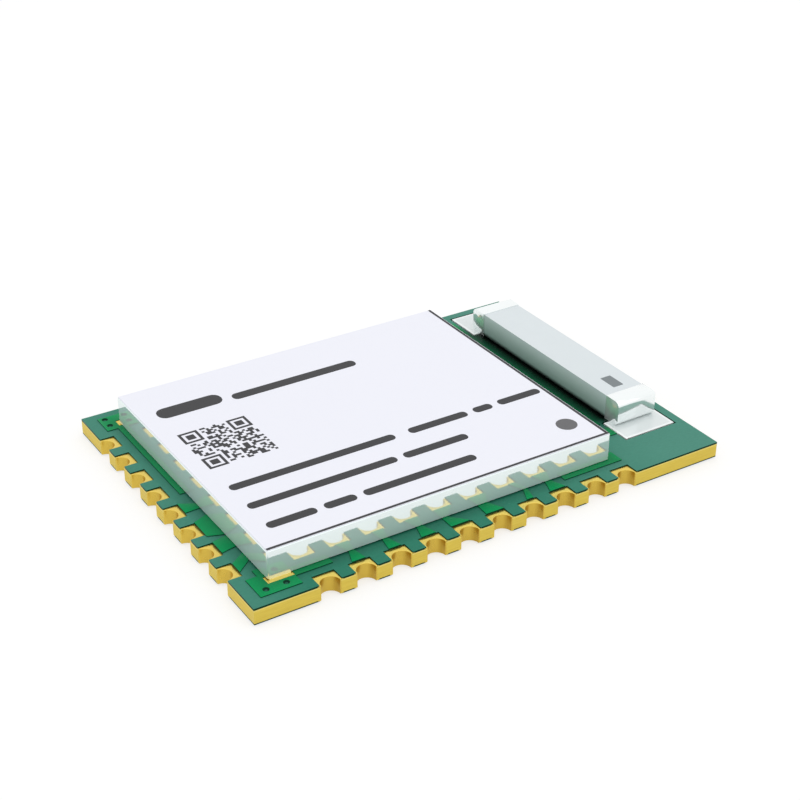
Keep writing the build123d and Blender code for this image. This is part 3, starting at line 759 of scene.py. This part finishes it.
class MODULE_OT_label(ModuleOperator):
    """White film with rows of bars, a pattern, a dot and border lines"""
    bl_idname = "module.label"
    bl_label = "Label"

    def execute(self, context):
        tones, size = colours(), sizes()
        film, *_ = finish("Label film", tones.label, roughness=0.45, specular=0.3, scale=0.4,
                          amount=0.015, grain=18.0, bump=0.08, depth=0.001)
        rounded_node("label_sheet", ["label"], film, size.label_edge)
        ink, *_ = finish("Label ink", tones.ink, roughness=0.5, specular=0.2, amount=0.06)
        grey, *_ = finish("Dot ink", tones.dot, roughness=0.5, specular=0.2, amount=0.06)
        low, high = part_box("label")
        self.rows(ink, high.z)
        self.pattern(ink, high.z)
        self.dot(grey, high.z)
        self.border(ink, low, high)
        return {"FINISHED"}

    def rows(self, ink, level):
        """Rows of rounded bars: the title's in one piece, the text's in another."""
        size = sizes()
        pieces = {
            "title_bars": [(TITLE, size.title_height), (SUBTITLE, size.bar_height * SUBTITLE_SCALE)],
            "text_bars": [(row, size.bar_height) for row in TEXT],
        }
        for name, rows in pieces.items():
            bm = bmesh.new()
            for row, height in rows:
                self.bars(bm, row, height, level)
            new_piece(name, bm, ink)

    def bars(self, bm, row, height, level):
        """Bars of one row, from the left."""
        x, y = row.left * MM, row.middle * MM
        for bar in row.bars:
            if bar:
                plate(bm, x, x + bar * MM, y - height / 2, y + height / 2, level,
                      sizes().ink_height, BAR_ROUNDING * height)
            x += bar * MM + BAR_SPACE * MM

    def pattern(self, ink, level):
        """Square of random cells with three framed corners."""
        size = sizes()
        count, cell = size.code_cells, size.code_size / size.code_cells
        left, front = PRINT_LEFT * MM, CODE_FRONT * MM
        far = count - CODE_FRAME
        corners = [(0, 0), (0, far), (far, far)]
        bars = list(self.dark_runs(count, corners))
        bars += [(a + x0, a + x1, b + y0, b + y1) for a, b in corners
                 for x0, x1, y0, y1 in CODE_FRAME_BARS]
        bm = bmesh.new()
        for x0, x1, y0, y1 in bars:
            plate(bm, left + x0 * cell, left + x1 * cell, front + y0 * cell, front + y1 * cell,
                  level, size.ink_height)
        new_piece("code_pattern", bm, ink)

    def dark_runs(self, count, corners):
        """Runs of dark cells between the corners: left, right, front and back, in cells."""
        chance = random.Random(CODE_SEED)
        for j in range(count):
            start = None
            for i in range(count + 1):
                framed = any(a - 1 <= i <= a + CODE_FRAME and b - 1 <= j <= b + CODE_FRAME
                             for a, b in corners)
                dark = i < count and not framed and chance.random() < CODE_DARK
                if dark and start is None:
                    start = i
                elif not dark and start is not None:
                    yield start, i, j, j + 1
                    start = None

    def dot(self, grey, level):
        """Round dot near the label's front right corner."""
        size = sizes()
        radius = size.dot_diameter / 2
        bm = bmesh.new()
        disc = bmesh.ops.create_cone(bm, cap_ends=True, segments=DOT_SEGMENTS, radius1=radius,
                                     radius2=radius, depth=size.ink_height)
        x, y = DOT_PLACE
        bmesh.ops.translate(bm, verts=disc["verts"], vec=(x * MM, y * MM, level + size.ink_height / 2))
        new_piece("corner_dot", bm, grey, smooth=True)

    def border(self, ink, low, high):
        """Line along the label's front edge and one just inside its right edge."""
        width, height = sizes().border_width, sizes().ink_height
        bm = bmesh.new()
        plate(bm, low.x, high.x, low.y, low.y + width, high.z, height)
        right = high.x - width * BORDER_INSET
        plate(bm, right - width, right, low.y + width, high.y, high.z, height)
        new_piece("border_lines", bm, ink)


class MODULE_OT_antenna(ModuleOperator):
    """Ceramic antenna with its mark, metal ends and soldered pads"""
    bl_idname = "module.antenna"
    bl_label = "Antenna"

    def execute(self, context):
        tones, size = colours(), sizes()
        rounded_node("antenna_block", ["antenna_body"], ceramic_material(), size.ceramic_edge,
                     BLOCK_SEGMENTS)
        ends, *_ = finish("Antenna ends", tones.tin, metallic=0.70, roughness=0.12, amount=0.04,
                          grain=20.0, bump=0.06)
        rounded_node("antenna_ends", ["antenna_front_terminal", "antenna_rear_terminal"], ends,
                     size.metal_edge)
        pad = pad_material()
        rounded_node("antenna_pad_solder", ["antenna_solder"], pad, size.metal_edge)
        paint(pad, "antenna_pads", "antenna_feed_trace")
        self.mark(tones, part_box("antenna_body")[1].z)
        return {"FINISHED"}

    def mark(self, tones, level):
        """Printed mark on top of the block, near its front end."""
        mark, *_ = finish("Antenna mark", tones.ceramic_mark, roughness=0.5, specular=0.3)
        bm = bmesh.new()
        plate(bm, MARK_LEFT * MM, MARK_RIGHT * MM, MARK_FRONT * MM, MARK_BACK * MM, level,
              sizes().ink_height, MARK_ROUNDING * MM)
        new_piece("antenna_print", bm, mark)


class MODULE_OT_inside(ModuleOperator):
    """Finishes of the parts inside the can"""
    bl_idname = "module.inside"
    bl_label = "Parts inside"

    def execute(self, context):
        tones = colours()
        moulding, *_ = finish("Moulding compound", tones.moulding, roughness=0.6, grain=45.0,
                              depth=0.003, amount=0.2)
        tin, *_ = finish("Tin plating", tones.tin, metallic=0.95, roughness=0.22)
        brown, *_ = finish("Capacitor ceramic", tones.capacitor, roughness=0.45)
        blue, *_ = finish("Inductor ceramic", tones.inductor)
        ferrite, *_ = finish("Ferrite", tones.ferrite, roughness=0.55, amount=0.2)
        glaze, *_ = finish("Resistor glaze", tones.glaze, roughness=0.25)
        base, *_ = finish("Crystal ceramic", tones.crystal_base, roughness=0.5)
        lid, *_ = finish("Crystal lid", tones.crystal_lid, metallic=1.0, roughness=0.25,
                         grain=30.0, stretch=(0.2, 1.0, 1.0), depth=0.001)
        paint(moulding, "radio_chip_body")
        paint(tin, "radio_chip_leads", "capacitor_end_caps", "matching_inductor_end_caps",
              "resistor_end_caps", "converter_coil_end_caps")
        paint(brown, "capacitor_bodies")
        paint(blue, "matching_inductor_bodies")
        paint(ferrite, "converter_coil_bodies")
        paint(glaze, "resistor_bodies")
        paint(base, "fast_crystal_base", "slow_crystal_base")
        paint(lid, "fast_crystal_lid", "slow_crystal_lid")
        return {"FINISHED"}


class MODULE_OT_stage(ModuleOperator):
    """Pale floor, soft lamps, white surroundings and the camera"""
    bl_idname = "module.stage"
    bl_label = "Stage"

    def execute(self, context):
        self.floor()
        self.surroundings(context.scene)
        for lamp in LAMPS:
            self.lamp(lamp)
        self.camera(context.scene)
        context.scene.view_settings.view_transform = "Standard"
        return {"FINISHED"}

    def floor(self):
        """Flat floor just below the module, which keeps its shadow and looks nearly white."""
        bm = bmesh.new()
        bmesh.ops.create_grid(bm, x_segments=1, y_segments=1, size=FLOOR_SIZE)
        bmesh.ops.translate(bm, verts=bm.verts, vec=(0, 0, -FLOOR_DROP * MM))
        mesh = bpy.data.meshes.new("floor")
        bm.to_mesh(mesh)
        bm.free()
        mesh.materials.append(self.floor_material())
        floor = bpy.data.objects.new("floor", mesh)
        bpy.context.scene.collection.objects.link(floor)

    def floor_material(self):
        """Grey that lights the module as a pale floor does, and glows where it is seen."""
        material = bpy.data.materials.new("Floor")
        material.use_nodes = True
        shader = Shader(material.node_tree)
        surface = material.node_tree.nodes["Principled BSDF"]
        shader.put(surface, "Roughness", 0.9)
        shader.put(surface, "Specular IOR Level", 0.0)
        seen = seen_rays(shader)
        shader.put(surface, "Base Color", shader.blend(seen, (FLOOR_LIT,) * 3, (FLOOR_SEEN,) * 3))
        shader.put(surface, "Emission Color", WHITE)
        shader.put(surface, "Emission Strength", shader.times(seen, FLOOR_GLOW))
        return material

    def surroundings(self, scene):
        """White all round, at full strength only where it is seen."""
        world = bpy.data.worlds.new("White room")
        world.use_nodes = True
        scene.world = world
        shader = Shader(world.node_tree)
        background = world.node_tree.nodes["Background"]
        shader.put(background, "Color", WHITE)
        strength = shader.maths("MULTIPLY_ADD", seen_rays(shader), 1 - ROOM_LIGHT, ROOM_LIGHT)
        shader.put(background, "Strength", strength)

    def lamp(self, lamp):
        """Square lamp that shines towards the module."""
        light = bpy.data.lights.new(lamp.name, "AREA")
        light.shape = "SQUARE"
        light.size = lamp.side
        light.energy = lamp.power
        holder = bpy.data.objects.new(lamp.name, light)
        holder.location = lamp.place
        holder.rotation_euler = Vector(lamp.place).to_track_quat("Z", "Y").to_euler()
        bpy.context.scene.collection.objects.link(holder)

    def camera(self, scene):
        """Camera at the photograph's place, turned, tilted and rolled as there."""
        turn, height, roll = (math.radians(angle)
                              for angle in (CAMERA_TURN, CAMERA_HEIGHT, CAMERA_ROLL))
        back = Vector((math.sin(turn) * math.cos(height), -math.cos(turn) * math.cos(height),
                       math.sin(height)))
        side = Vector((0, 0, 1)).cross(back).normalized()
        up = back.cross(side)
        right = math.cos(roll) * side + math.sin(roll) * up
        above = math.cos(roll) * up - math.sin(roll) * side
        data = bpy.data.cameras.new("Camera")
        data.sensor_width = SENSOR_WIDTH
        data.lens = FOCAL_PIXELS * SENSOR_WIDTH / PICTURE_PIXELS
        data.clip_start = CLIP_START
        data.clip_end = CLIP_END
        camera = bpy.data.objects.new("Camera", data)
        turned = Matrix((right, above, back)).transposed().to_4x4()
        camera.matrix_world = Matrix.Translation(Vector(CAMERA_PLACE) * MM) @ turned
        scene.collection.objects.link(camera)
        scene.camera = camera


STEPS = (MODULE_OT_solder_mask, MODULE_OT_board, MODULE_OT_gold_pads, MODULE_OT_shield,
         MODULE_OT_label, MODULE_OT_antenna, MODULE_OT_inside, MODULE_OT_stage)


class MODULE_PT_sidebar(bpy.types.Panel):
    """Lists the operators, colours and sizes"""
    bl_idname = "MODULE_PT_sidebar"
    bl_label = "Radio module"
    bl_space_type = "VIEW_3D"
    bl_region_type = "UI"
    bl_category = "Radio module"

    def draw(self, context):
        """Puts a button for each operator above the colours and sizes."""
        for step in STEPS:
            self.layout.operator(step.bl_idname)
        for group in (context.scene.module_colours, context.scene.module_sizes):
            for name in group.__annotations__:
                self.layout.prop(group, name)


CLASSES = (ModuleColours, ModuleSizes, *STEPS, MODULE_PT_sidebar)


def register():
    """Adds the classes and the scene's colours and sizes."""
    for item in CLASSES:
        bpy.utils.register_class(item)
    bpy.types.Scene.module_colours = PointerProperty(type=ModuleColours)
    bpy.types.Scene.module_sizes = PointerProperty(type=ModuleSizes)


def unregister():
    """Takes away what register adds."""
    del bpy.types.Scene.module_sizes
    del bpy.types.Scene.module_colours
    for item in reversed(CLASSES):
        bpy.utils.unregister_class(item)


def main():
    """Builds the dressed module."""
    register()
    bpy.ops.module.solder_mask()
    bpy.ops.module.board()
    bpy.ops.module.gold_pads()
    bpy.ops.module.shield()
    bpy.ops.module.label()
    bpy.ops.module.antenna()
    bpy.ops.module.inside()
    bpy.ops.module.stage()


if __name__ == "__main__":
    main()
